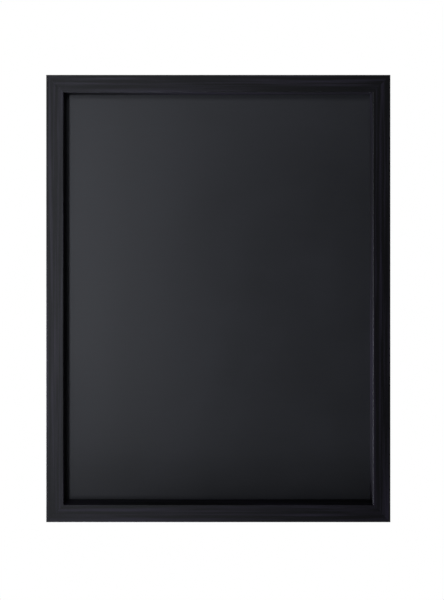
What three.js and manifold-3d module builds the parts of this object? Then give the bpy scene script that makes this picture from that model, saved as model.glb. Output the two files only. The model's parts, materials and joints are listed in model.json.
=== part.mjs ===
// Wall chalkboard: a mitred, rebated wood frame round a matt writing sheet on a hardboard back,
// with V-nails in its corners, framer's points in its rebate, two D-ring hangers and two bumpers.
// Millimetres. X runs to the right, Z up and Y towards the wall, so the writing side faces -Y.
// The origin is the middle of the board on the wall plane, where the bumpers' faces lie.

import * as THREE from 'three';
import { mergeVertices } from 'three/addons/utils/BufferGeometryUtils.js';
import Module from 'manifold-3d';

// Frame moulding
const openingWidth = 300; // writing area that shows between the lips
const openingHeight = 400;
const backWidth = 11; // of the wood beside the rebate
const lipWidth = 6; // how far the lip covers the board's edge
const lipDepth = 12; // from the frame's face down to the writing surface
const railDepth = 20;
const frontArris = 0.6; // radius
const backArris = 0.6; // radius

// Writing board
const sheetThickness = 0.8;
const boardThickness = 3;
const boardClearance = 0.5; // on each edge, inside the rebate

// V-nails, two across each mitre
const nailThickness = 0.5;
const nailHeight = 7;
const nailLeg = 3; // from the V's point to where the leg bends
const nailFlare = 0.6; // length of the bent end of a leg
const nailFlareAngle = 30; // degrees
const nailBend = 0.5; // radius of the V's point, on the middle of the strip
const nailInset = 2.8; // from the frame's outer edges to the point of the outer nail
const nailPitch = 3.5; // from the outer nail to the inner one, across and along
const nailSink = 0.3; // below the back of the frame
const nailClearance = 0.1; // round a nail in the wood

// Framer's points
const pointLength = 15;
const pointWidth = 5.6;
const pointThickness = 0.45;
const pointGrip = 6; // length driven into the wood
const pointTip = 3.6; // length of the tapered tip
const pointTipWidth = 1.2;
const pointCorner = 1.5; // radius of the free end's corners
const pointBend = 2.6; // length of the free end that is turned up
const pointLift = 0.7; // of the free end
const pointSeat = 0.05; // between a point and the backing board
const pointClearance = 0.1; // round a point in the wood
const pointMargin = 100; // from the frame's outer corner to the nearest point

// D-ring hangers
const wireDiameter = 2;
const ringWidth = 13; // outside
const ringSide = 2.7; // straight stretch between corner and bow
const ringCorner = 1.5; // radius, on the middle of the wire
const ringJoint = 0.3; // gap where the wire's ends meet inside the strap
const ringRest = 0.2; // between the ring's bow and the wood when it leans back
const strapThickness = 0.7;
const strapSideGap = 0.5; // from the strap's edge to where the wire starts to bend
const strapSlit = 0.05; // between the folded strap's two layers
const strapEye = 0.15; // play round the wire
const strapFold = 60; // degrees that the strap comes round past the top of the wire
const strapFoldRadius = 1.1; // where it bends back onto the first layer, on the middle of the strip
const hangerDrop = 60; // from the frame's top edge down to the wire's bar
const hangerEdge = 0.3; // from the frame's outer edge to the ring
const wallGap = 0.3; // between the strap and the wall

// Hanger screws
const screwDrop = 8.5; // from the wire's bar down to the screw
const screwLength = 10; // under the head
const screwDiameter = 2.9;
const screwTip = 2.5; // length of the point
const screwPlay = 0.2; // between the screw and its hole in the strap
const pilotClearance = 0.1;
const headDiameter = 5.6;
const headHeight = 1.7;
const headRim = 0.6; // straight side of the head below its dome
const recessWidth = 0.7;
const recessSpan = 3;
const recessDepth = 0.9;

// Bumpers
const bumperDiameter = 9;
const bumperRound = 0.9; // radius of the edge that meets the wall
const bumperInset = 25; // from the frame's outer side edges

// Facets
const arcFacet = Math.PI / 8;
const roundSides = 12; // of a wire or a hole
const ringSteps = 48; // along the wire
const turnedSides = 16; // of a screw or a bumper
const overcut = 1; // how far a cutting shape runs past the face that it cuts

// Sizes that follow
const railWidth = backWidth + lipWidth;
const outerWidth = openingWidth + 2 * railWidth;
const outerHeight = openingHeight + 2 * railWidth;
const boardWidth = openingWidth + 2 * (lipWidth - boardClearance);
const boardHeight = openingHeight + 2 * (lipWidth - boardClearance);
const wireRadius = wireDiameter / 2;
const eyeRadius = wireRadius + strapEye + strapThickness / 2; // on the middle of the strap
const barHeight = eyeRadius + strapThickness / 2; // above the wood
const backFace = -(2 * barHeight + wallGap);
const frontFace = backFace - railDepth;
const writingFace = frontFace + lipDepth;
const boardFront = writingFace + sheetThickness;
const boardBack = boardFront + boardThickness;
const pointBack = boardBack + pointSeat + pointThickness;
const bowRadius = ringWidth / 2 - wireRadius;
const barLength = 2 * (bowRadius - ringCorner);
const strapWidth = barLength - 2 * strapSideGap;
const strapStack = 2 * strapThickness + strapSlit;
const strapEnd = screwDrop + strapWidth / 2; // down from the wire's bar
const ringReach = ringCorner + ringSide + bowRadius; // from the bar to the bow, on the wire's middle
const ringLean = Math.asin((barHeight - wireRadius - ringRest) / ringReach);
const hangerInset = hangerEdge + ringWidth / 2;
const hangerHeight = outerHeight / 2 - hangerDrop;
const nailInsets = { outer: nailInset, inner: nailInset + nailPitch };
const quarter = Math.PI / 2;

// Each side is made with its outer edge up and then turned; flip says which way its X then points
const sides = [
  { name: 'top', length: outerWidth, reach: outerHeight / 2, turn: 0, flip: 1 },
  { name: 'bottom', length: outerWidth, reach: outerHeight / 2, turn: Math.PI, flip: -1 },
  { name: 'left', length: outerHeight, reach: outerWidth / 2, turn: -quarter, flip: 1, upright: true },
  { name: 'right', length: outerHeight, reach: outerWidth / 2, turn: quarter, flip: -1, upright: true },
];

const corners = [
  { name: 'top_right', across: 1, up: 1, turn: 0 },
  { name: 'bottom_right', across: 1, up: -1, turn: quarter },
  { name: 'bottom_left', across: -1, up: -1, turn: Math.PI },
  { name: 'top_left', across: -1, up: 1, turn: -quarter },
];

const finishes = {
  blackWood: { color: 0x222327, roughness: 0.5, metalness: 0 },
  chalkSurface: { color: 0x2c2e33, roughness: 0.72, metalness: 0 },
  hardboard: { color: 0x6d4c33, roughness: 0.8, metalness: 0 },
  zincSteel: { color: 0xb9bbbd, roughness: 0.38, metalness: 1 },
  springSteel: { color: 0x7d8085, roughness: 0.42, metalness: 1 },
  nickelWire: { color: 0xc9c6bf, roughness: 0.24, metalness: 1 },
  greyRubber: { color: 0x35363a, roughness: 0.85, metalness: 0 },
};

const wasm = await Module();
wasm.setup();

// Solids, joined and cut

function solid(geometry) {
  const bare = geometry.clone();
  bare.deleteAttribute('normal');
  bare.deleteAttribute('uv');
  const merged = mergeVertices(bare);
  const mesh = new wasm.Mesh({
    numProp: 3,
    vertProperties: merged.attributes.position.array,
    triVerts: Uint32Array.from(merged.index.array),
  });
  return new wasm.Manifold(mesh);
}

function geometryOf(body) {
  const { vertProperties, triVerts } = body.getMesh();
  const geometry = new THREE.BufferGeometry();
  geometry.setAttribute('position', new THREE.BufferAttribute(vertProperties, 3));
  geometry.setIndex(new THREE.BufferAttribute(triVerts, 1));
  const facets = geometry.toNonIndexed();
  facets.computeVertexNormals();
  return facets;
}

function cut(geometry, tools) {
  return geometryOf(tools.reduce((rest, tool) => rest.subtract(solid(tool)), solid(geometry)));
}

function common(first, second) {
  return geometryOf(solid(first).intersect(solid(second)));
}

function piece(name, geometry, finish) {
  const mesh = new THREE.Mesh(geometry, new THREE.MeshStandardMaterial(finishes[finish]));
  mesh.name = name;
  return mesh;
}

// Outlines

function spot(x, y) {
  return new THREE.Vector2(x, y);
}

function arc(x, y, radius, from, to) {
  const facets = Math.max(1, Math.round(Math.abs(to - from) / arcFacet));
  return new THREE.EllipseCurve(x, y, radius, radius, from, to, to < from).getPoints(facets);
}

function circle(x, y, radius) {
  return new THREE.EllipseCurve(x, y, radius, radius).getPoints(roundSides).slice(1);
}

// The outline of a band of even thickness that follows a line of points
function band(line, thickness, endGrowth = 0) {
  const left = [];
  const right = [];
  const last = line.length - 1;
  line.forEach((point, i) => {
    const into = point.clone().sub(line[Math.max(i - 1, 0)]).normalize();
    const outOf = line[Math.min(i + 1, last)].clone().sub(point).normalize();
    const along = into.clone().add(outOf).normalize();
    const aside = spot(-along.y, along.x);
    const spread = thickness / 2 / along.dot(i < last ? outOf : into);
    const ends = { 0: -endGrowth, [last]: endGrowth };
    const middle = point.clone().addScaledVector(along, ends[i] ?? 0);
    left.push(middle.clone().addScaledVector(aside, spread));
    right.unshift(middle.clone().addScaledVector(aside, -spread));
  });
  return new THREE.Shape([...left, ...right]);
}

// An outline in X and Z, given thickness from a height in Y down
function slab(outline, top, thickness) {
  const geometry = new THREE.ExtrudeGeometry(outline, { depth: thickness, bevelEnabled: false });
  return geometry.rotateX(quarter).translate(0, top, 0);
}

// A side view, drawn with its X along -Z and its Y as height, given width across X
function strip(outline, width) {
  const geometry = new THREE.ExtrudeGeometry(outline, { depth: width, bevelEnabled: false });
  return geometry.rotateY(quarter).translate(-width / 2, 0, 0);
}

// Frame rails: the outer edge lies on the X axis and the width runs down -Z

function mouldingSection() {
  const far = railWidth - frontArris;
  const low = frontFace + frontArris;
  return new THREE.Shape([
    ...arc(frontArris, low, frontArris, 2 * quarter, 3 * quarter),
    ...arc(far, low, frontArris, -quarter, 0),
    spot(railWidth, writingFace),
    spot(backWidth, writingFace),
    spot(backWidth, backFace),
    ...arc(backArris, backFace - backArris, backArris, quarter, 2 * quarter),
  ]);
}

function mitredMoulding(length) {
  const geometry = new THREE.ExtrudeGeometry(mouldingSection(), { depth: 1, bevelEnabled: false });
  const corner = geometry.attributes.position;
  for (let i = 0; i < corner.count; i += 1) {
    const inward = corner.getX(i);
    const end = Math.sign(corner.getZ(i) - 0.5);
    corner.setXYZ(i, end * (length / 2 - inward), corner.getY(i), -inward);
  }
  return geometry;
}

function nailSlots(length) {
  return Object.values(nailInsets).flatMap((inset) => {
    const outline = nailOutline(inset, nailClearance);
    const depth = overcut + nailSink + nailHeight + nailClearance;
    const slot = slab(outline, backFace + overcut, depth);
    return [
      slot.clone().translate(length / 2, 0, 0),
      slot.clone().rotateY(-quarter).translate(-length / 2, 0, 0),
    ];
  });
}

function pointSlot(along) {
  const height = pointThickness + 2 * pointClearance;
  return slab(pointOutline(pointClearance), pointBack + pointClearance, height).translate(along, 0, 0);
}

function pilotHole(side) {
  const radius = screwDiameter / 2 + pilotClearance;
  const depth = screwLength - strapStack + pilotClearance;
  const hole = new THREE.CylinderGeometry(radius, radius, depth + overcut, turnedSides);
  const along = side.flip * (hangerHeight - screwDrop);
  return hole.translate(along, backFace + (overcut - depth) / 2, -hangerInset);
}

function rail(side) {
  const tools = nailSlots(side.length);
  pointPlaces(side).forEach(({ along }) => tools.push(pointSlot(along)));
  if (side.upright) {
    tools.push(pilotHole(side));
  }
  return piece(`rail_${side.name}`, cut(mitredMoulding(side.length), tools), 'blackWood');
}

// V-nails, drawn from the frame's corner with one leg along each rail

function nailOutline(inset, growth = 0) {
  const flare = THREE.MathUtils.degToRad(nailFlareAngle);
  const legEnd = inset + nailLeg;
  const flareEnd = legEnd + nailFlare * Math.cos(flare);
  const flareSide = inset - nailFlare * Math.sin(flare);
  const bend = inset + nailBend;
  const line = [
    spot(-flareEnd, -flareSide),
    spot(-legEnd, -inset),
    ...arc(-bend, -bend, nailBend, quarter, 0),
    spot(-inset, -legEnd),
    spot(-flareSide, -flareEnd),
  ];
  return band(line, nailThickness + 2 * growth, growth);
}

function cornerNails(corner) {
  const group = new THREE.Group();
  group.position.set((corner.across * outerWidth) / 2, 0, (corner.up * outerHeight) / 2);
  group.rotation.y = corner.turn;
  for (const [place, inset] of Object.entries(nailInsets)) {
    const nail = slab(nailOutline(inset), backFace - nailSink, nailHeight);
    group.add(piece(`v_nail_${corner.name}_${place}`, nail, 'springSteel'));
  }
  return group;
}

// Framer's points, drawn in the rail's own frame

function pointPlaces(side) {
  const far = side.length / 2 - pointMargin;
  const places = side.upright ? { upper: far, middle: 0, lower: -far } : { left: -far, right: far };
  return Object.entries(places).map(([place, at]) => ({ place, along: side.flip * at }));
}

function pointOutline(growth = 0) {
  const half = pointWidth / 2 + growth;
  const tipHalf = pointTipWidth / 2 + growth;
  const tip = pointGrip - backWidth + growth;
  const free = pointGrip - backWidth - pointLength;
  return new THREE.Shape([
    spot(-tipHalf, tip),
    spot(-half, tip - pointTip),
    ...arc(pointCorner - half, free + pointCorner, pointCorner, 2 * quarter, 3 * quarter),
    ...arc(half - pointCorner, free + pointCorner, pointCorner, -quarter, 0),
    spot(half, tip - pointTip),
    spot(tipHalf, tip),
  ]);
}

function framersPoint() {
  const middle = pointBack - pointThickness / 2;
  const tip = backWidth - pointGrip;
  const free = tip + pointLength;
  const line = [spot(tip, middle), spot(free - pointBend, middle), spot(free, middle + pointLift)];
  const bent = strip(band(line, pointThickness, overcut), pointWidth);
  const room = pointLift + 2 * overcut;
  return common(bent, slab(pointOutline(), middle + room, 2 * room));
}

// Hangers, drawn on the wood with the wire's bar above the origin

function strapLine() {
  const fold = THREE.MathUtils.degToRad(strapFold);
  const lower = strapThickness / 2;
  const upper = strapStack - strapThickness / 2;
  const bends = (eyeRadius + strapFoldRadius) * (1 - Math.cos(fold));
  const slope = (barHeight + eyeRadius - upper - bends) / Math.sin(fold);
  const bendBack = (eyeRadius + strapFoldRadius) * Math.sin(fold) + slope * Math.cos(fold);
  return [
    spot(strapEnd, lower),
    ...arc(0, barHeight, eyeRadius, 3 * quarter, quarter - fold),
    ...arc(bendBack, upper + strapFoldRadius, strapFoldRadius, -quarter - fold, -quarter),
    spot(strapEnd, upper),
  ];
}

function strapOutline() {
  const half = strapWidth / 2;
  const outline = new THREE.Shape([
    spot(half, 2 * barHeight),
    spot(-half, 2 * barHeight),
    ...arc(0, -screwDrop, half, 2 * quarter, 4 * quarter),
  ]);
  outline.holes.push(new THREE.Path(circle(0, -screwDrop, screwDiameter / 2 + screwPlay)));
  return outline;
}

function strap() {
  const folded = strip(band(strapLine(), strapThickness), strapWidth);
  return common(folded, slab(strapOutline(), 3 * barHeight, 4 * barHeight));
}

class RingLine extends THREE.Curve {
  constructor() {
    super();
    const bend = bowRadius - ringCorner;
    const shoulder = ringCorner + ringSide;
    this.line = new THREE.Path();
    this.line.moveTo(ringJoint / 2, 0);
    this.line.lineTo(bend, 0);
    this.line.absarc(bend, ringCorner, ringCorner, -quarter, 0);
    this.line.absarc(0, shoulder, bowRadius, 0, 2 * quarter);
    this.line.absarc(-bend, ringCorner, ringCorner, 2 * quarter, 3 * quarter);
    this.line.lineTo(-ringJoint / 2, 0);
  }

  getPoint(t, target = new THREE.Vector3()) {
    const { x, y } = this.line.getPoint(t);
    return target.set(x, 0, y);
  }
}

function ring() {
  const wire = new THREE.Shape(circle(0, 0, wireRadius));
  return new THREE.ExtrudeGeometry(wire, { extrudePath: new RingLine(), steps: ringSteps });
}

function screw() {
  const radius = screwDiameter / 2;
  const head = headDiameter / 2;
  const dome = new THREE.EllipseCurve(0, headRim, head, headHeight - headRim, 0, quarter);
  const profile = [
    spot(0, -screwLength),
    spot(radius, screwTip - screwLength),
    spot(radius, 0),
    spot(head, 0),
    ...dome.getPoints(Math.round(quarter / arcFacet)),
  ];
  const slot = new THREE.BoxGeometry(recessSpan, 2 * recessDepth, recessWidth);
  slot.translate(0, headHeight, 0);
  return cut(new THREE.LatheGeometry(profile, turnedSides), [slot, slot.clone().rotateY(quarter)]);
}

function hanger(side) {
  const group = new THREE.Group();
  group.position.set(side.flip * hangerHeight, backFace, -hangerInset);
  group.rotation.y = -side.turn;
  const wire = piece(`ring_${side.name}`, ring(), 'nickelWire');
  wire.position.y = barHeight;
  wire.rotation.x = ringLean;
  const fixing = piece(`screw_${side.name}`, screw(), 'zincSteel');
  fixing.position.set(0, strapStack, -screwDrop);
  return group.add(piece(`strap_${side.name}`, strap(), 'zincSteel'), wire, fixing);
}

// Bumpers and sheets

function bumper(place, along) {
  const radius = bumperDiameter / 2;
  const profile = [
    spot(0, backFace),
    spot(radius, backFace),
    ...arc(radius - bumperRound, -bumperRound, bumperRound, 0, quarter),
    spot(0, 0),
  ];
  const mesh = piece(`bumper_${place}`, new THREE.LatheGeometry(profile, turnedSides), 'greyRubber');
  mesh.position.set(along, 0, -backWidth / 2);
  return mesh;
}

function sheet(name, front, thickness, finish) {
  const mesh = piece(name, new THREE.BoxGeometry(boardWidth, thickness, boardHeight), finish);
  mesh.position.y = front + thickness / 2;
  return mesh;
}

// The assembly

function frameSide(side) {
  const group = new THREE.Group();
  group.rotation.y = side.turn;
  group.position.set(Math.sin(side.turn) * side.reach, 0, Math.cos(side.turn) * side.reach);
  group.add(rail(side));
  for (const { place, along } of pointPlaces(side)) {
    const point = piece(`point_${side.name}_${place}`, framersPoint(), 'springSteel');
    point.position.x = along;
    group.add(point);
  }
  if (side.upright) {
    group.add(hanger(side));
  }
  return group;
}

function addBumpers(bottom, flip) {
  const along = outerWidth / 2 - bumperInset;
  bottom.add(bumper('left', -flip * along), bumper('right', flip * along));
}

const board = new THREE.Group();
board.add(sheet('writing_sheet', writingFace, sheetThickness, 'chalkSurface'));
board.add(sheet('backing_board', boardFront, boardThickness, 'hardboard'));
for (const side of sides) {
  const group = frameSide(side);
  if (side.name === 'bottom') {
    addBumpers(group, side.flip);
  }
  board.add(group);
}
corners.forEach((corner) => board.add(cornerNails(corner)));

export default board;
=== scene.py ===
# Looks of the wall chalkboard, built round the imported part. Metres; the writing side faces -Y.
import json
import math

import bmesh
import bpy
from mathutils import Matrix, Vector


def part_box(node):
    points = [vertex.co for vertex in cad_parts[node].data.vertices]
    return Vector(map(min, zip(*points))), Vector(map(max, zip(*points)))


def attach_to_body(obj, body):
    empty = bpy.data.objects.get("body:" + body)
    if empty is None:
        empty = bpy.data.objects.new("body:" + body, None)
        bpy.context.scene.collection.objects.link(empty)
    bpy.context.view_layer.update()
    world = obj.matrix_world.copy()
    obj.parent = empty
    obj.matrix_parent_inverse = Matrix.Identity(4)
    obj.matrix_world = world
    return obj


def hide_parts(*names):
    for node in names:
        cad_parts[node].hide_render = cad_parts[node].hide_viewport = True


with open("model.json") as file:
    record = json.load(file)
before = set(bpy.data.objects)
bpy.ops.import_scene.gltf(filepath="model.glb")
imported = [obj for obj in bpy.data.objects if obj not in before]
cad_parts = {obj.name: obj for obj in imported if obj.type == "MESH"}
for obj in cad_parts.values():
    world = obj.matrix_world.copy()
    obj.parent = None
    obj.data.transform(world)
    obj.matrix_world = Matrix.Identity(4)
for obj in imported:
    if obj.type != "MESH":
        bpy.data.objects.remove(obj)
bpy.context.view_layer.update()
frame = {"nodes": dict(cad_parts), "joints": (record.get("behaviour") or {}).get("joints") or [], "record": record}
nodes = frame["nodes"]
mm = 0.001
weldGap = 0.001 * mm  # corners closer than this become one
nearEnough = 0.01 * mm  # a corner this close to a plane lies in it
squareOn = 0.999  # a unit direction with this much along an axis counts as lying along it
smoothAngle = math.radians(35)  # faces that meet at less are shaded as one surface
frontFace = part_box("rail_top")[0].y
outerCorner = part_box("rail_top")[1]
bpy.ops.object.select_all(action="DESELECT")
print("frame loaded:", len(nodes), "nodes")


# Shared modelling steps

def addBlock(name, low, high):
    centre = (Vector(low) + Vector(high)) / 2
    bpy.ops.mesh.primitive_cube_add(size=1, location=centre)
    block = bpy.context.object
    block.name = block.data.name = name
    block.scale = Vector(high) - Vector(low)
    settle()
    return block


def addRod(name, radius, start, end, sides):
    # a round bar that runs along Y
    middle = (Vector(start) + Vector(end)) / 2
    bpy.ops.mesh.primitive_cylinder_add(
        vertices=sides,
        radius=radius,
        depth=abs(end[1] - start[1]),
        location=middle,
        rotation=(math.pi / 2, 0, 0),
    )
    rod = bpy.context.object
    rod.name = rod.data.name = name
    settle()
    return rod


def settle():
    # puts the place of the active piece into its mesh
    bpy.ops.object.transform_apply(location=True, rotation=True, scale=True)


def makeActive(piece):
    # selects it alone for the next step
    bpy.ops.object.select_all(action="DESELECT")
    piece.select_set(True)
    bpy.context.view_layer.objects.active = piece


def editPiece(piece):
    if bpy.context.mode != "OBJECT":
        bpy.ops.object.mode_set(mode="OBJECT")
    makeActive(piece)
    bpy.ops.object.mode_set(mode="EDIT")


def leaveEdit():
    bpy.ops.object.mode_set(mode="OBJECT")


def pick(kind, wanted):
    # selects the faces or edges of the piece in edit mode that pass a test
    bpy.ops.mesh.select_mode(type=kind)
    bpy.ops.mesh.select_all(action="DESELECT")
    form = bmesh.from_edit_mesh(bpy.context.edit_object.data)
    parts = form.faces if kind == "FACE" else form.edges
    for part in parts:
        if wanted(part):
            part.select_set(True)
    bmesh.update_edit_mesh(bpy.context.edit_object.data)


def facesBack(face):
    return face.normal.y > squareOn


def facesFront(face):
    return face.normal.y < -squareOn


def pushOut(value):
    # extrudes what is picked
    bpy.ops.mesh.extrude_region_move(TRANSFORM_OT_translate={"value": value})


def useModifier(piece, kind, **settings):
    # adds a modifier to a piece and applies it
    makeActive(piece)
    modifier = piece.modifiers.new(kind.lower(), kind)
    for name, value in settings.items():
        setattr(modifier, name, value)
    bpy.ops.object.modifier_apply(modifier=modifier.name)


def cutWith(piece, cutter, operation="DIFFERENCE"):
    useModifier(piece, "BOOLEAN", object=cutter, operation=operation, solver="EXACT")
    bpy.data.objects.remove(cutter)


def joinPieces(pieces):
    makeActive(pieces[0])
    for piece in pieces:
        piece.select_set(True)
    bpy.ops.object.join()
    return pieces[0]


def copyPiece(piece, name, offset):
    makeActive(piece)
    bpy.ops.object.duplicate()
    double = bpy.context.object
    double.name = double.data.name = name
    double.location = offset
    settle()
    return double


def copyNode(node, growth):
    # a merged copy of a CAD node, grown by its clearance, for cutting with
    cutter = nodes[node].copy()
    cutter.data = cutter.data.copy()
    cutter.parent = None
    for key in list(cutter.keys()):
        del cutter[key]
    bpy.context.scene.collection.objects.link(cutter)
    editPiece(cutter)
    bpy.ops.mesh.select_all(action="SELECT")
    bpy.ops.mesh.remove_doubles(threshold=weldGap)
    bpy.ops.mesh.normals_make_consistent(inside=False)
    bpy.ops.transform.shrink_fatten(value=growth, use_even_offset=True)
    leaveEdit()
    return cutter


def dress(piece, material, flatBack=False):
    # gives a piece its finish and shading; flatBack is for a back with slots cut into it
    piece.data.materials.clear()
    piece.data.materials.append(material)
    makeActive(piece)
    bpy.ops.object.shade_smooth_by_angle(angle=smoothAngle)
    if flatBack:
        editPiece(piece)
        pick("FACE", facesBack)
        bpy.ops.mesh.faces_shade_flat()
        leaveEdit()
    # keeps broad faces flat beside their arrises
    useModifier(piece, "WEIGHTED_NORMAL", keep_sharp=True)


def attach(piece, node):
    body = next(name for name, members in frame["record"]["behaviour"]["bodies"].items() if node in members)
    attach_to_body(piece, body)
    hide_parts(node)


# Shared material steps

def colour(hexCode):
    # sRGB hex to the linear colour that the shaders use
    shares = [int(hexCode[i:i + 2], 16) / 255 for i in (1, 3, 5)]
    return [s / 12.92 if s <= 0.04045 else ((s + 0.055) / 1.055) ** 2.4 for s in shares] + [1]


def newMaterial(name):
    material = bpy.data.materials.new(name)
    material.use_nodes = True
    material.node_tree.nodes.clear()
    return material, material.node_tree


def addNode(tree, kind, settings=None, inputs=None, ramp=None):
    # a node with its settings; an input is a value, or the output that feeds it, and a ramp is a list of
    # positions with their sRGB colours
    node = tree.nodes.new(kind)
    for name, value in (settings or {}).items():
        setattr(node, name, value)
    for key, value in (inputs or {}).items():
        if isinstance(value, bpy.types.NodeSocket):
            tree.links.new(value, node.inputs[key])
        else:
            node.inputs[key].default_value = value
    for i, (position, shade) in enumerate(ramp or []):
        stops = node.color_ramp.elements
        stop = stops[i] if i < len(stops) else stops.new(position)
        stop.position = position
        stop.color = colour(shade)
    return node


def grey(level):
    return (level, level, level, 1)


# Materials

woodLook = {
    "tones": [(0.46, "#040306"), (0.68, "#211d2a")],  # dark and light streaks
    "sheen": {"From Min": 0.35, "From Max": 0.65, "To Min": 0.54, "To Max": 0.47},  # their roughness
    "streakWidth": 3 * mm,
    "streakLength": 150 * mm,
    "streakNoise": {"Detail": 3.0, "Roughness": 0.6},
    "poreWidth": 0.9 * mm,  # real pores are 0.2 mm and would not show from here
    "poreLength": 16 * mm,
    "poreNoise": {"Detail": 5.0, "Roughness": 0.6},
    "poreBump": {"Distance": 0.05 * mm, "Strength": 0.7},
    "ior": 1.42,
}


def lacqueredWood(name, grain):
    # Black-stained, open-pored wood under sprayed satin lacquer: long soft streaks and a broken sheen
    # along each length, a little purple where the stain is thin.
    material, tree = newMaterial(name)
    place = addNode(tree, "ShaderNodeTexCoord").outputs["Object"]
    patterns = []
    for kind in ("streak", "pore"):
        scale = [1 / woodLook[kind + "Width"]] * 3
        scale["XYZ".index(grain)] = 1 / woodLook[kind + "Length"]
        stretch = addNode(tree, "ShaderNodeMapping", inputs={"Vector": place, "Scale": scale})
        noise = addNode(
            tree,
            "ShaderNodeTexNoise",
            inputs={"Vector": stretch.outputs["Vector"], "Scale": 1.0, **woodLook[kind + "Noise"]},
        )
        patterns.append(noise.outputs["Fac"])
    streaks, pores = patterns
    tone = addNode(tree, "ShaderNodeValToRGB", inputs={"Fac": streaks}, ramp=woodLook["tones"])
    sheen = addNode(tree, "ShaderNodeMapRange", inputs={"Value": streaks, **woodLook["sheen"]})
    relief = addNode(tree, "ShaderNodeBump", inputs={"Height": pores, **woodLook["poreBump"]})
    shader = addNode(
        tree,
        "ShaderNodeBsdfPrincipled",
        inputs={
            "Base Color": tone.outputs["Color"],
            "Roughness": sheen.outputs["Result"],
            "Normal": relief.outputs["Normal"],
            "IOR": woodLook["ior"],
        },
    )
    addNode(tree, "ShaderNodeOutputMaterial", inputs={"Surface": shader.outputs["BSDF"]})
    return material


chalkLook = {
    "tones": [(0.35, "#242528"), (0.7, "#28292d")],  # as new and wiped
    "sheen": {"From Min": 0.3, "From Max": 0.7, "To Min": 0.445, "To Max": 0.485},  # their roughness
    "wipe": 70 * mm,  # size of the cloudy patches
    "wipeNoise": {"Detail": 3.0, "Distortion": 0.6},
    "rub": (34 * mm, 1.6 * mm),  # length and height of the faint marks left by wiping from side to side
    "rubNoise": {"Detail": 2.0, "Roughness": 0.6},
    "rubShare": 0.35,
    "tooth": 0.9 * mm,  # the real tooth is about 0.1 mm, too fine to show
    "toothNoise": {"Detail": 2.0},
    "toothBump": {"Distance": 0.02 * mm, "Strength": 0.5},
    "ior": 1.5,
}


def chalkLaminate():
    # Matt charcoal laminate pressed with a fine tooth: an even, soft sheen, with faint cloudy patches
    # and side-to-side rub marks where it has been wiped.
    material, tree = newMaterial("chalkLaminate")
    place = addNode(tree, "ShaderNodeTexCoord").outputs["Object"]
    wipes = addNode(
        tree,
        "ShaderNodeTexNoise",
        inputs={"Vector": place, "Scale": 1 / chalkLook["wipe"], **chalkLook["wipeNoise"]},
    )
    tooth = addNode(
        tree,
        "ShaderNodeTexNoise",
        inputs={"Vector": place, "Scale": 1 / chalkLook["tooth"], **chalkLook["toothNoise"]},
    )
    across, up = chalkLook["rub"]
    scale = (1 / across, 1 / across, 1 / up)
    stretch = addNode(tree, "ShaderNodeMapping", inputs={"Vector": place, "Scale": scale})
    rubs = addNode(
        tree,
        "ShaderNodeTexNoise",
        inputs={"Vector": stretch.outputs["Vector"], "Scale": 1.0, **chalkLook["rubNoise"]},
    )
    wear = addNode(
        tree,
        "ShaderNodeMix",
        inputs={"Factor": chalkLook["rubShare"], "A": wipes.outputs["Fac"], "B": rubs.outputs["Fac"]},
    ).outputs["Result"]
    tone = addNode(tree, "ShaderNodeValToRGB", inputs={"Fac": wear}, ramp=chalkLook["tones"])
    sheen = addNode(tree, "ShaderNodeMapRange", inputs={"Value": wear, **chalkLook["sheen"]})
    relief = addNode(
        tree,
        "ShaderNodeBump",
        inputs={"Height": tooth.outputs["Fac"], **chalkLook["toothBump"]},
    )
    shader = addNode(
        tree,
        "ShaderNodeBsdfPrincipled",
        inputs={
            "Base Color": tone.outputs["Color"],
            "Roughness": sheen.outputs["Result"],
            "Normal": relief.outputs["Normal"],
            "IOR": chalkLook["ior"],
        },
    )
    addNode(tree, "ShaderNodeOutputMaterial", inputs={"Surface": shader.outputs["BSDF"]})
    return material


boardLook = {
    "tones": [(0.3, "#5d412b"), (0.72, "#8a6647")],
    "roughness": 0.68,
    "fleck": 2.5 * mm,
    "fleckNoise": {"Detail": 6.0, "Roughness": 0.7},
    "fibre": 0.7 * mm,
    "fibreNoise": {"Detail": 4.0, "Distortion": 1.5},
    "fibreBump": {"Distance": 0.04 * mm, "Strength": 0.8},
}


def pressedHardboard():
    # Hot-pressed wood fibre: a brown, slightly leathery face with lighter and darker fibre flecks.
    material, tree = newMaterial("pressedHardboard")
    place = addNode(tree, "ShaderNodeTexCoord").outputs["Object"]
    flecks = addNode(
        tree,
        "ShaderNodeTexNoise",
        inputs={"Vector": place, "Scale": 1 / boardLook["fleck"], **boardLook["fleckNoise"]},
    )
    fibres = addNode(
        tree,
        "ShaderNodeTexNoise",
        inputs={"Vector": place, "Scale": 1 / boardLook["fibre"], **boardLook["fibreNoise"]},
    )
    tone = addNode(tree, "ShaderNodeValToRGB", inputs={"Fac": flecks.outputs["Fac"]}, ramp=boardLook["tones"])
    relief = addNode(
        tree,
        "ShaderNodeBump",
        inputs={"Height": fibres.outputs["Fac"], **boardLook["fibreBump"]},
    )
    shader = addNode(
        tree,
        "ShaderNodeBsdfPrincipled",
        inputs={
            "Base Color": tone.outputs["Color"],
            "Roughness": boardLook["roughness"],
            "Normal": relief.outputs["Normal"],
        },
    )
    addNode(tree, "ShaderNodeOutputMaterial", inputs={"Surface": shader.outputs["BSDF"]})
    return material


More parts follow.
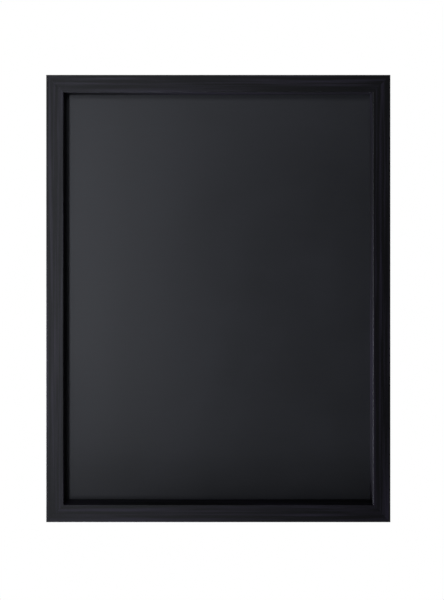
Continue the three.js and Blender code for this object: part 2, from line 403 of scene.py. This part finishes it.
steelLooks = {
    # Rolled spring steel, blued by its heat treatment: dark, blue-grey and faintly clouded
    "bluedSpringSteel": {
        "dark": "#5c626e",
        "light": "#8b919b",
        "roughness": (0.3, 0.45),
        "patch": 4 * mm,
        "scratch": 0.3 * mm,
    },
    # Bright zinc plating on stamped steel: pale, slightly milky, with soft spangle
    "brightZincPlate": {
        "dark": "#adb2b8",
        "light": "#d2d6da",
        "roughness": (0.26, 0.42),
        "patch": 2 * mm,
        "scratch": 0.25 * mm,
    },
    # Nickel plating on drawn wire: warm, clear and nearly mirror bright
    "nickelPlatedWire": {
        "dark": "#c2bcb0",
        "light": "#d8d3c9",
        "roughness": (0.12, 0.22),
        "patch": 3 * mm,
        "scratch": 0.3 * mm,
    },
}
steelPattern = {
    "levels": (0.3, 0.7),  # of the noise, between which tone and roughness change
    "cloudNoise": {"Detail": 4.0},
    "markNoise": {"Detail": 3.0},
    "markBump": {"Distance": 0.01 * mm, "Strength": 0.4},
    "markLength": 20,  # times their spacing
}


def platedSteel(name):
    # patch is the size of its cloudy tone, scratch the spacing of its rolling marks
    look = steelLooks[name]
    low, high = steelPattern["levels"]
    smooth, rough = look["roughness"]
    material, tree = newMaterial(name)
    place = addNode(tree, "ShaderNodeTexCoord").outputs["Object"]
    clouds = addNode(
        tree,
        "ShaderNodeTexNoise",
        inputs={"Vector": place, "Scale": 1 / look["patch"], **steelPattern["cloudNoise"]},
    )
    fine = 1 / look["scratch"]
    stretch = addNode(
        tree,
        "ShaderNodeMapping",
        inputs={"Vector": place, "Scale": (fine, fine, fine / steelPattern["markLength"])},
    )
    marks = addNode(
        tree,
        "ShaderNodeTexNoise",
        inputs={"Vector": stretch.outputs["Vector"], "Scale": 1.0, **steelPattern["markNoise"]},
    ).outputs["Fac"]
    tone = addNode(
        tree,
        "ShaderNodeValToRGB",
        inputs={"Fac": clouds.outputs["Fac"]},
        ramp=[(low, look["dark"]), (high, look["light"])],
    )
    polish = addNode(
        tree,
        "ShaderNodeMapRange",
        inputs={"Value": marks, "From Min": low, "From Max": high, "To Min": smooth, "To Max": rough},
    )
    relief = addNode(tree, "ShaderNodeBump", inputs={"Height": marks, **steelPattern["markBump"]})
    shader = addNode(
        tree,
        "ShaderNodeBsdfPrincipled",
        inputs={
            "Base Color": tone.outputs["Color"],
            "Metallic": 1.0,
            "Roughness": polish.outputs["Result"],
            "Normal": relief.outputs["Normal"],
        },
    )
    addNode(tree, "ShaderNodeOutputMaterial", inputs={"Surface": shader.outputs["BSDF"]})
    return material


rubberLook = {
    "tones": [(0.35, "#2f3034"), (0.75, "#404247")],
    "roughness": 0.82,
    "grain": 0.35 * mm,
    "grainNoise": {"Detail": 3.0},
    "grainBump": {"Distance": 0.02 * mm, "Strength": 0.6},
}


def mouldedRubber():
    # Moulded dark grey rubber: dead matt, with a fine spark-eroded grain and a dusty bloom.
    material, tree = newMaterial("mouldedRubber")
    place = addNode(tree, "ShaderNodeTexCoord").outputs["Object"]
    grain = addNode(
        tree,
        "ShaderNodeTexNoise",
        inputs={"Vector": place, "Scale": 1 / rubberLook["grain"], **rubberLook["grainNoise"]},
    ).outputs["Fac"]
    tone = addNode(tree, "ShaderNodeValToRGB", inputs={"Fac": grain}, ramp=rubberLook["tones"])
    relief = addNode(tree, "ShaderNodeBump", inputs={"Height": grain, **rubberLook["grainBump"]})
    shader = addNode(
        tree,
        "ShaderNodeBsdfPrincipled",
        inputs={
            "Base Color": tone.outputs["Color"],
            "Roughness": rubberLook["roughness"],
            "Normal": relief.outputs["Normal"],
        },
    )
    addNode(tree, "ShaderNodeOutputMaterial", inputs={"Surface": shader.outputs["BSDF"]})
    return material


foamLook = {
    "tones": [(0.0, "#b9b7ae"), (0.6, "#d6d4cb")],  # cells and their walls
    "roughness": 0.75,
    "cell": 0.25 * mm,
}


def foamAdhesive():
    # Thin acrylic foam tape under the bumpers: off-white and dull, with fine closed cells.
    material, tree = newMaterial("foamAdhesive")
    place = addNode(tree, "ShaderNodeTexCoord").outputs["Object"]
    cells = addNode(tree, "ShaderNodeTexVoronoi", inputs={"Vector": place, "Scale": 1 / foamLook["cell"]})
    tone = addNode(
        tree,
        "ShaderNodeValToRGB",
        inputs={"Fac": cells.outputs["Distance"]},
        ramp=foamLook["tones"],
    )
    shader = addNode(
        tree,
        "ShaderNodeBsdfPrincipled",
        inputs={"Base Color": tone.outputs["Color"], "Roughness": foamLook["roughness"]},
    )
    addNode(tree, "ShaderNodeOutputMaterial", inputs={"Surface": shader.outputs["BSDF"]})
    return material


woodAlongX = lacqueredWood("satinBlackLacquerAcross", "X")
woodAlongZ = lacqueredWood("satinBlackLacquerUpright", "Z")
chalkSurface = chalkLaminate()
hardboard = pressedHardboard()
bluedSteel = platedSteel("bluedSpringSteel")
zincSteel = platedSteel("brightZincPlate")
nickelWire = platedSteel("nickelPlatedWire")
rubber = mouldedRubber()
adhesive = foamAdhesive()
print("materials made")


# Camera: square to the board, at the photograph's scale and place

photograph = {
    "width": 444,
    "height": 600,
    "pixelsPerMetre": 1031.5,  # on the frame's front face
    "boardCentre": (218.3, 298.6),  # pixels from its left and its top
}
cameraPlace = {"distance": 0.6, "x": 0.0, "z": 0.08}  # distance from the frame's front face
sensorSize = 36


def addCamera():
    bpy.ops.object.camera_add(
        location=(cameraPlace["x"], frontFace - cameraPlace["distance"], cameraPlace["z"]),
        rotation=(math.pi / 2, 0, 0),
    )
    camera = bpy.context.object
    longSide = photograph["height"] / photograph["pixelsPerMetre"]
    camera.data.sensor_width = sensorSize
    camera.data.lens = sensorSize * cameraPlace["distance"] / longSide
    middle = (photograph["width"] / 2, photograph["height"] / 2)
    across = photograph["boardCentre"][0] + cameraPlace["x"] * photograph["pixelsPerMetre"]
    down = photograph["boardCentre"][1] - cameraPlace["z"] * photograph["pixelsPerMetre"]
    camera.data.shift_x = (middle[0] - across) / photograph["height"]
    camera.data.shift_y = (down - middle[1]) / photograph["height"]
    bpy.context.scene.camera = camera


addCamera()


# Light: a tall strip left of the camera with a weak box above it, a soft box far to the left and one
# low under the board, nearly in its plane, and one behind it on the right, which lights only its edge
# and back. A white backdrop stands behind it and a dim studio in front.

lamps = {
    "stripBox": {"place": (-0.33, -0.7, 0.025), "size": (0.12, 0.95), "power": 2.15},
    "sideBox": {"place": (-1.4, -0.16, -0.5), "size": (0.2, 0.4), "power": 29},
    "topBox": {"place": (0.06, -0.7, 0.5), "size": (0.5, 0.2), "power": 0.42},
    "edgeBox": {"place": (1.3, 0.4, 0.2), "size": (0.4, 0.8), "power": 9},
    "lowBox": {"place": (-0.3, -0.16, -1.25), "size": (0.5, 0.15), "power": 10},
}
lampColour = "#f0f4ff"
surroundings = {
    "backdrop": 0.8,  # light that the white backdrop sends to the object
    "studio": 0.12,  # light from the room in front of it
    "mirroredStudio": 0.012,  # and as the lacquer mirrors it: its walls are black
    "fade": (0.1, 0.6),  # from studio to backdrop, as the share of a direction that points back
    "floorColour": "#eeeeee",
    "floorSize": 12,
    "floorDrop": 1.2,  # from the frame's bottom edge to the floor
    "floorClear": (0.25, 0.6),  # metres over which the floor fades into the backdrop
    "floorPale": 0.5,  # how far the floor under the board has already faded
}


def addLamps():
    for name, values in lamps.items():
        place = Vector(values["place"])
        bpy.ops.object.light_add(type="AREA", location=place)
        lamp = bpy.context.object
        lamp.name = name
        lamp.rotation_euler = (-place).to_track_quat("-Z", "Y").to_euler()
        lamp.data.shape = "RECTANGLE"
        lamp.data.size, lamp.data.size_y = values["size"]
        lamp.data.energy = values["power"]
        lamp.data.color = colour(lampColour)[:3]
        lamp.visible_camera = False


def lightWorld():
    world = bpy.data.worlds.new("studio")
    bpy.context.scene.world = world
    world.use_nodes = True
    tree = world.node_tree
    tree.nodes.clear()
    path = addNode(tree, "ShaderNodeLightPath").outputs
    direction = addNode(tree, "ShaderNodeTexCoord").outputs["Generated"]
    depth = addNode(tree, "ShaderNodeSeparateXYZ", inputs={0: direction}).outputs["Y"]
    low, high = surroundings["fade"]
    behind = addNode(
        tree,
        "ShaderNodeMapRange",
        {"interpolation_type": "SMOOTHSTEP"},
        {"Value": depth, "From Min": low, "From Max": high},
    ).outputs["Result"]
    mirrored = addNode(
        tree,
        "ShaderNodeMath",
        {"operation": "ADD", "use_clamp": True},
        {0: path["Is Glossy Ray"], 1: path["Is Transmission Ray"]},
    )
    light, sight = (
        addNode(
            tree,
            "ShaderNodeMapRange",
            inputs={"Value": behind, "To Min": front, "To Max": back},
        ).outputs["Result"]
        for front, back in (
            (surroundings["studio"], surroundings["backdrop"]),
            (surroundings["mirroredStudio"], 1.0),
        )
    )
    level = addNode(tree, "ShaderNodeMix", inputs={"Factor": mirrored.outputs[0], "A": light, "B": sight})
    strength = addNode(
        tree,
        "ShaderNodeMath",
        {"operation": "MAXIMUM"},
        {0: level.outputs["Result"], 1: path["Is Camera Ray"]},
    )
    room = addNode(tree, "ShaderNodeBackground", inputs={"Color": grey(1), "Strength": strength.outputs[0]})
    addNode(tree, "ShaderNodeOutputWorld", inputs={"Surface": room.outputs[0]})


def addFloor():
    # pale floor that keeps the board's shadow near it and runs out into the white backdrop
    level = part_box("rail_bottom")[0].z - surroundings["floorDrop"]
    bpy.ops.mesh.primitive_plane_add(size=surroundings["floorSize"], location=(0, 0, level))
    floor = bpy.context.object
    floor.name = "studioFloor"
    material, tree = newMaterial("paleFloor")
    path = addNode(tree, "ShaderNodeLightPath").outputs
    place = addNode(tree, "ShaderNodeTexCoord").outputs["Object"]
    reach = addNode(tree, "ShaderNodeVectorMath", {"operation": "LENGTH"}, {0: place})
    near, far = surroundings["floorClear"]
    away = addNode(
        tree,
        "ShaderNodeMapRange",
        {"interpolation_type": "SMOOTHSTEP"},
        {
            "Value": reach.outputs["Value"],
            "From Min": near,
            "From Max": far,
            "To Min": surroundings["floorPale"],
        },
    )
    share = addNode(
        tree,
        "ShaderNodeMath",
        {"operation": "MULTIPLY"},
        {0: path["Is Camera Ray"], 1: away.outputs[0]},
    )
    matt = addNode(tree, "ShaderNodeBsdfDiffuse", inputs={"Color": colour(surroundings["floorColour"])})
    white = addNode(tree, "ShaderNodeEmission", inputs={"Color": grey(1), "Strength": 1.0})
    mix = addNode(
        tree,
        "ShaderNodeMixShader",
        inputs={0: share.outputs[0], 1: matt.outputs[0], 2: white.outputs[0]},
    )
    addNode(tree, "ShaderNodeOutputMaterial", inputs={"Surface": mix.outputs[0]})
    floor.data.materials.append(material)
    floor.visible_glossy = floor.visible_transmission = False  # mirrors show the backdrop there instead


addLamps()
lightWorld()
addFloor()
bpy.context.scene.view_settings.view_transform = "Standard"
print("camera, light and floor set")


# Frame rails: each is a rebated length with eased arrises, mitred at both ends

railShape = {
    "backWidth": 11 * mm,
    "arris": 0.6 * mm,
    "arrisSteps": 5,
    "faceLines": 38,  # lines along the front face that carry the grain's relief
    "sideLines": 22,
    "lengthCuts": (11, 11),
    "grainDepth": 0.05 * mm,
    "grainWidth": 1.1 * mm,
    "grainLength": 38 * mm,
    "grainDetail": 3,
    "grainShift": 0.7,  # moves the pattern on from one rail to the next
    "slotPlay": 0.1 * mm,
    "slotRise": 1 * mm,  # how far a nail's cutting shape stands out of the back
}
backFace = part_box("rail_top")[1].y
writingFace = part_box("writing_sheet")[0].y
railWidth = outerCorner.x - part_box("rail_right")[0].x
railSides = [
    ("top", 0, woodAlongX),
    ("bottom", math.pi, woodAlongX),
    ("left", -math.pi / 2, woodAlongZ),
    ("right", math.pi / 2, woodAlongZ),
]


def runsAlong(edge, axis):
    return abs((edge.verts[1].co - edge.verts[0].co).normalized()[axis]) > squareOn


def isAt(edge, axis, value):
    return all(abs(corner.co[axis] - value) < nearEnough for corner in edge.verts)


def modelRail(name, length, reach):
    # made as the top rail, with its outer edge up, and turned to its own side afterwards
    rebate = reach - railShape["backWidth"]
    rail = addBlock(name, (-length / 2, frontFace, reach - railWidth), (length / 2, writingFace, reach))
    editPiece(rail)
    pick("FACE", facesBack)
    bpy.ops.mesh.bisect(plane_co=(0, 0, rebate), plane_no=(0, 0, 1))
    pick("FACE", lambda face: facesBack(face) and face.calc_center_median().z > rebate)
    pushOut((0, backFace - writingFace, 0))
    pick("EDGE", lambda edge: runsAlong(edge, 0) and isAt(edge, 1, frontFace))
    bpy.ops.mesh.bevel(offset=railShape["arris"], segments=railShape["arrisSteps"], affect="EDGES")
    pick("EDGE", lambda edge: runsAlong(edge, 0) and isAt(edge, 1, backFace) and isAt(edge, 2, reach))
    bpy.ops.mesh.bevel(offset=railShape["arris"], segments=railShape["arrisSteps"], affect="EDGES")
    pick("EDGE", lambda edge: runsAlong(edge, 2) and isAt(edge, 1, frontFace))
    bpy.ops.mesh.subdivide(number_cuts=railShape["faceLines"])
    pick("EDGE", lambda edge: runsAlong(edge, 1) and not isAt(edge, 2, rebate))
    bpy.ops.mesh.subdivide(number_cuts=railShape["sideLines"])
    for cuts in railShape["lengthCuts"]:
        pick("EDGE", lambda edge: runsAlong(edge, 0))
        bpy.ops.mesh.subdivide(number_cuts=cuts)
    for end in (-1, 1):
        bpy.ops.mesh.select_all(action="SELECT")
        bpy.ops.mesh.bisect(
            plane_co=(end * length / 2, 0, reach),
            plane_no=(end, 0, -1),
            clear_outer=True,
            use_fill=True,
            threshold=weldGap,
        )
    bpy.ops.mesh.select_all(action="SELECT")
    bpy.ops.mesh.normals_make_consistent(inside=False)
    leaveEdit()
    return rail


def raiseGrain(rail, reach, seed):
    # sinks the pores of the visible faces a little, in lines along the rail
    visible = rail.vertex_groups.new(name="visibleFaces")
    edge = reach - nearEnough
    lip = writingFace - railShape["arris"]
    found = [v.index for v in rail.data.vertices if v.co.y < lip or (v.co.z > edge and v.co.y < backFace)]
    visible.add(found, 1.0, "ADD")
    bpy.ops.object.empty_add(location=(seed * railShape["grainShift"], 0, 0))
    stretch = bpy.context.object
    stretch.scale = (railShape["grainLength"], railShape["grainWidth"], railShape["grainWidth"])
    pores = bpy.data.textures.new("openPores", "CLOUDS")
    pores.noise_scale = 1.0
    pores.noise_depth = railShape["grainDetail"]
    useModifier(
        rail,
        "DISPLACE",
        texture=pores,
        texture_coords="OBJECT",
        texture_coords_object=stretch,
        vertex_group="visibleFaces",
        mid_level=1.0,
        strength=railShape["grainDepth"],
    )
    bpy.data.objects.remove(stretch)


def cutSlots(rail, side):
    # room in the wood for the corner nails, the framer's points and the hanger's screw
    for name in nodes:
        if name.startswith("v_nail") and side in name:
            cutter = copyNode(name, railShape["slotPlay"])
            editPiece(cutter)
            pick("FACE", facesBack)
            bpy.ops.transform.translate(value=(0, railShape["slotRise"], 0))
            leaveEdit()
            cutWith(rail, cutter)
        elif name.startswith(f"point_{side}_") or name == f"screw_{side}":
            cutWith(rail, copyNode(name, railShape["slotPlay"]))


def makeRails():
    for seed, (side, turn, wood) in enumerate(railSides):
        upright = side in ("left", "right")
        half = (outerCorner.z, outerCorner.x) if upright else (outerCorner.x, outerCorner.z)
        rail = modelRail("rail" + side.title(), 2 * half[0], half[1])
        raiseGrain(rail, half[1], seed)
        rail.rotation_euler.y = turn
        settle()
        cutSlots(rail, side)
        dress(rail, wood, flatBack=True)
        attach(rail, "rail_" + side)
        print(rail.name, "made:", len(rail.data.polygons), "faces")


# Writing sheet and the hardboard behind it

sheetShape = {
    "edge": 0.12 * mm,
    "edgeSteps": 2,
    "lines": 70,  # across and up each face
    "swell": 0.04 * mm,  # a pressed sheet is never dead flat
    "swellSize": 55 * mm,
    "margin": 8 * mm,  # kept flat at the edges, where the sheet is held
}


def modelSheet(name, node, facing):
    # facing is the side that shows: 1 for the back, -1 for the front
    low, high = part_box(node)
    sheet = addBlock(name, low, high)
    editPiece(sheet)
    bpy.ops.mesh.select_all(action="SELECT")
    bpy.ops.mesh.bevel(offset=sheetShape["edge"], segments=sheetShape["edgeSteps"], affect="EDGES")
    pick("FACE", facesBack if facing > 0 else facesFront)
    bpy.ops.mesh.subdivide(number_cuts=sheetShape["lines"])
    leaveEdit()
    middle = sheet.vertex_groups.new(name="middle")
    limit = (high.x - sheetShape["margin"], high.z - sheetShape["margin"])
    found = [v.index for v in sheet.data.vertices if abs(v.co.x) < limit[0] and abs(v.co.z) < limit[1]]
    middle.add(found, 1.0, "ADD")
    swell = bpy.data.textures.new("swell", "CLOUDS")
    swell.noise_scale = sheetShape["swellSize"]
    useModifier(
        sheet,
        "DISPLACE",
        texture=swell,
        texture_coords="GLOBAL",
        vertex_group="middle",
        mid_level=1.0,
        strength=sheetShape["swell"],
    )
    return sheet


def makeSheets():
    for name, node, facing, material, slot in (
        ("chalkSheet", "writing_sheet", -1, chalkSurface, "chalk_surface"),
        ("hardboardBack", "backing_board", 1, hardboard, "hardboard"),
    ):
        sheet = modelSheet(name, node, facing)
        dress(sheet, material)
        attach(sheet, node)
    print("writing sheet and hardboard made")


# Hangers: modelled round the wire's bar, with the wood in the -Y direction, then put in place

hangerShape = {
    "strapWidth": 7 * mm,
    "strapThickness": 0.7 * mm,
    "strapSlit": 0.05 * mm,
    "eyeRadius": 1.5 * mm,  # on the middle of the strap
    "eyeSteps": 28,
    "fold": math.radians(60),
    "foldRadius": 1.1 * mm,
    "foldSteps": 8,
    "strapEdge": 0.09 * mm,
    "strapEdgeSteps": 2,
    "strapEdgeAngle": math.radians(50),  # edges sharper than this are rounded
    "endSides": 64,
    "holeRadius": 1.65 * mm,
    "holeSides": 40,
    "screwDrop": 8.5 * mm,
    "wireRadius": 1 * mm,
    "wireSides": 24,
    "bowRadius": 5.5 * mm,
    "bowSteps": 36,
    "cornerRadius": 1.5 * mm,
    "cornerSteps": 10,
    "ringSide": 2.7 * mm,
    "wireJoint": 0.3 * mm,
    "ringRest": 0.2 * mm,  # between the bow and the wood
}
barHeight = hangerShape["eyeRadius"] + hangerShape["strapThickness"] / 2
strapStack = 2 * hangerShape["strapThickness"] + hangerShape["strapSlit"]
strapEnd = hangerShape["screwDrop"] + hangerShape["strapWidth"] / 2


def pickEnd(axis, value):
    pick("EDGE", lambda edge: edge.is_boundary and isAt(edge, axis, value))


def modelStrap(name):
    shape = hangerShape
    half = shape["strapWidth"] / 2
    lower = shape["strapThickness"] / 2 - barHeight
    upper = lower + strapStack - shape["strapThickness"]
    reach = shape["eyeRadius"] + shape["foldRadius"]
    slope = (shape["eyeRadius"] - upper - reach * (1 - math.cos(shape["fold"]))) / math.sin(shape["fold"])
    slopeRun = slope * math.cos(shape["fold"])
    foldCentre = (0, upper + shape["foldRadius"], -reach * math.sin(shape["fold"]) - slopeRun)
    bpy.ops.mesh.primitive_plane_add(
        size=1,
        location=(0, lower, -strapEnd / 2),
        rotation=(math.pi / 2, 0, 0),
    )
    strap = bpy.context.object
    strap.name = strap.data.name = name
    strap.scale = (shape["strapWidth"], strapEnd, 1)
    settle()
    editPiece(strap)
    pickEnd(2, 0)
    bpy.ops.mesh.spin(
        steps=shape["eyeSteps"],
        angle=math.pi + shape["fold"],
        center=(0, 0, 0),
        axis=(1, 0, 0),
    )
    pushOut((0, -slope * math.sin(shape["fold"]), -slopeRun))
    bpy.ops.mesh.spin(steps=shape["foldSteps"], angle=shape["fold"], center=foldCentre, axis=(-1, 0, 0))
    pushOut((0, 0, -strapEnd - foldCentre[2]))
    leaveEdit()
    useModifier(strap, "SOLIDIFY", thickness=shape["strapThickness"], offset=0.0, use_even_offset=True)
    screwAt = -shape["screwDrop"]
    past = 3 * barHeight  # clear of the strap on every side
    blank = addRod("blank", half, (0, -past, screwAt), (0, past, screwAt), shape["endSides"])
    cutWith(blank, addBlock("body", (-half, -past, screwAt), (half, past, past)), "UNION")
    cutWith(strap, blank, "INTERSECT")
    hole = addRod("hole", shape["holeRadius"], (0, -past, screwAt), (0, past, screwAt), shape["holeSides"])
    cutWith(strap, hole)
    useModifier(
        strap,
        "BEVEL",
        width=shape["strapEdge"],
        segments=shape["strapEdgeSteps"],
        limit_method="ANGLE",
        angle_limit=shape["strapEdgeAngle"],
    )
    return strap


def modelRing(name):
    shape = hangerShape
    bend = shape["bowRadius"] - shape["cornerRadius"]
    shoulder = shape["cornerRadius"] + shape["ringSide"]
    bpy.ops.mesh.primitive_circle_add(
        vertices=shape["wireSides"],
        radius=shape["wireRadius"],
        location=(shape["wireJoint"] / 2, 0, 0),
        rotation=(0, math.pi / 2, 0),
    )
    ring = bpy.context.object
    ring.name = ring.data.name = name
    settle()
    editPiece(ring)
    bpy.ops.mesh.select_all(action="SELECT")
    pushOut((bend - shape["wireJoint"] / 2, 0, 0))
    bends = (
        (bend, shape["cornerRadius"], math.pi / 2, shape["cornerSteps"]),
        (0, shoulder, math.pi, shape["bowSteps"]),
        (-bend, shape["cornerRadius"], math.pi / 2, shape["cornerSteps"]),
    )
    lengths = ((0, shape["ringSide"]), (0, -shape["ringSide"]), (bend - shape["wireJoint"] / 2, 0))
    for (x, z, angle, steps), (across, up) in zip(bends, lengths):
        bpy.ops.mesh.spin(steps=steps, angle=angle, center=(x, 0, z), axis=(0, 1, 0))
        pushOut((across, 0, up))
    for end in (-1, 1):
        pickEnd(0, end * shape["wireJoint"] / 2)
        bpy.ops.mesh.edge_face_add()
    bpy.ops.mesh.select_all(action="SELECT")
    bpy.ops.mesh.normals_make_consistent(inside=False)
    leaveEdit()
    reach = shoulder + shape["bowRadius"]
    ring.rotation_euler.x = math.asin((barHeight - shape["wireRadius"] - shape["ringRest"]) / reach)
    settle()
    return ring


screwShape = {
    "headRadius": 2.8 * mm,
    "headSides": 48,
    "rim": 0.6 * mm,
    "dome": 1.1 * mm,
    "domeSteps": 9,
    "recess": (1.5 * mm, 0.35 * mm, 0.9 * mm),  # half span, half width and depth of the cross
    "recessTaper": (0.45, 0.8),  # what is left of each arm's span and width at its bottom
    "core": 1 * mm,  # radius of the shank under the thread
    "coreSides": 32,
    "crest": 1.45 * mm,  # radius of the thread
    "length": 10 * mm,
    "overlap": 0.1 * mm,  # of the shank into the head
    "tip": 2.5 * mm,
    "tipTaper": 0.05,  # what is left of the shank's radius at its point
    "pitch": 1.2 * mm,
    "threadSize": 0.35 * mm,
    "turns": 5,
    "threadSteps": 24,  # to a turn
}


def modelScrewHead():
    shape = screwShape
    head = addRod("screwHead", shape["headRadius"], (0, 0, 0), (0, shape["rim"], 0), shape["headSides"])
    editPiece(head)
    pick("FACE", facesBack)
    radius, height = shape["headRadius"], shape["rim"]
    for i in range(1, shape["domeSteps"]):
        turn = i / shape["domeSteps"] * math.pi / 2
        newRadius = shape["headRadius"] * math.cos(turn)
        newHeight = shape["rim"] + shape["dome"] * math.sin(turn)
        pushOut((0, newHeight - height, 0))
        bpy.ops.transform.resize(value=(newRadius / radius, 1, newRadius / radius))
        radius, height = newRadius, newHeight
    leaveEdit()
    span, width, depth = shape["recess"]
    along, across = shape["recessTaper"]
    top = shape["rim"] + shape["dome"]
    for x, z in ((span, width), (width, span)):
        cross = addBlock("cross", (-x, top - depth, -z), (x, top + depth, z))
        editPiece(cross)
        pick("FACE", facesFront)
        bpy.ops.transform.resize(value=(along, 1, across) if x > z else (across, 1, along))
        leaveEdit()
        cutWith(head, cross)
    return head


def modelThread():
    shape = screwShape
    bpy.ops.mesh.primitive_circle_add(
        vertices=3,
        radius=shape["threadSize"],
        location=(shape["crest"] - shape["threadSize"], -shape["pitch"], 0),
        rotation=(0, 0, -math.pi / 2),
    )
    thread = bpy.context.object
    settle()
    useModifier(
        thread,
        "SCREW",
        axis="Y",
        screw_offset=-shape["pitch"],
        iterations=shape["turns"],
        steps=shape["threadSteps"],
        render_steps=shape["threadSteps"],
    )
    editPiece(thread)
    for turns in (0, shape["turns"]):
        middle = -shape["pitch"] * (1 + turns)
        pick(
            "EDGE",
            lambda edge: edge.is_boundary and abs(edge.verts[0].co.y - middle) < shape["pitch"] / 2,
        )
        bpy.ops.mesh.edge_face_add()
    bpy.ops.mesh.select_all(action="SELECT")
    bpy.ops.mesh.normals_make_consistent(inside=False)
    leaveEdit()
    return thread


def modelScrew(name):
    shape = screwShape
    shoulder = shape["tip"] - shape["length"]
    core = addRod("screwCore", shape["core"], (0, shoulder, 0), (0, shape["overlap"], 0), shape["coreSides"])
    editPiece(core)
    pick("FACE", facesFront)
    pushOut((0, -shape["tip"], 0))
    bpy.ops.transform.resize(value=(shape["tipTaper"], 1, shape["tipTaper"]))
    leaveEdit()
    screw = joinPieces([modelScrewHead(), core, modelThread()])
    screw.name = screw.data.name = name
    return screw


def makeHangers():
    bars = {joint["child"]: Vector(joint["pos_m"]) for joint in frame["joints"]}
    left, right = bars["ring_left"], bars["ring_right"]
    screwSeat = Vector((0, strapStack - barHeight, -hangerShape["screwDrop"]))
    for name, model, offset, material, slot in (
        ("strap", modelStrap, Vector(), zincSteel, "zinc_steel"),
        ("ring", modelRing, Vector(), nickelWire, "nickel_wire"),
        ("screw", modelScrew, screwSeat, zincSteel, "zinc_steel"),
    ):
        piece = model(name + "Left")
        piece.location = left + offset
        settle()
        double = copyPiece(piece, name + "Right", right - left)
        for made, side in ((piece, "left"), (double, "right")):
            dress(made, material)
            attach(made, f"{name}_{side}")
    print("hangers made")


# Bumpers: moulded rubber studs on a thin adhesive pad

bumperShape = {
    "padInset": 0.25 * mm,
    "padThickness": 0.3 * mm,
    "padRound": 0.08 * mm,
    "padRoundSteps": 2,
    "sides": 64,
    "round": 0.9 * mm,
    "roundSteps": 8,
    "footRound": 0.2 * mm,
    "footRoundSteps": 3,
    "dishRadius": 2 * mm,
    "dishDepth": 0.25 * mm,
}


def modelBumper(name, node):
    low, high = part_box(node)
    radius, height = (high.x - low.x) / 2, high.y - low.y
    shape = bumperShape
    pad = addRod("pad", radius - shape["padInset"], (0, 0, 0), (0, shape["padThickness"], 0), shape["sides"])
    editPiece(pad)
    pick("EDGE", lambda edge: isAt(edge, 1, shape["padThickness"]))
    bpy.ops.mesh.bevel(offset=shape["padRound"], segments=shape["padRoundSteps"], affect="EDGES")
    leaveEdit()
    stud = addRod(name, radius, (0, shape["padThickness"], 0), (0, height, 0), shape["sides"])
    editPiece(stud)
    pick("EDGE", lambda edge: isAt(edge, 1, height))
    bpy.ops.mesh.bevel(offset=shape["round"], segments=shape["roundSteps"], affect="EDGES")
    pick("EDGE", lambda edge: isAt(edge, 1, shape["padThickness"]))
    bpy.ops.mesh.bevel(offset=shape["footRound"], segments=shape["footRoundSteps"], affect="EDGES")
    pick("FACE", facesBack)
    bpy.ops.mesh.inset(thickness=radius - shape["round"] - shape["dishRadius"])
    bpy.ops.mesh.inset(thickness=shape["dishDepth"], depth=-shape["dishDepth"])
    leaveEdit()
    dress(stud, rubber)
    dress(pad, adhesive)
    bumper = joinPieces([stud, pad])
    bumper.location = ((low.x + high.x) / 2, low.y, (low.z + high.z) / 2)
    settle()
    return bumper


def makeBumpers():
    left = modelBumper("bumperLeft", "bumper_left")
    right = copyPiece(left, "bumperRight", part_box("bumper_right")[0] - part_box("bumper_left")[0])
    attach(left, "bumper_left")
    attach(right, "bumper_right")
    print("bumpers made")


def finishNails():
    # the corner nails and framer's points keep their CAD shapes
    for name, node in nodes.items():
        if name.startswith(("v_nail", "point")):
            node.material_slots[0].material = bluedSteel
    print("corner nails and framer's points finished")


makeRails()
makeSheets()
makeHangers()
makeBumpers()
finishNails()
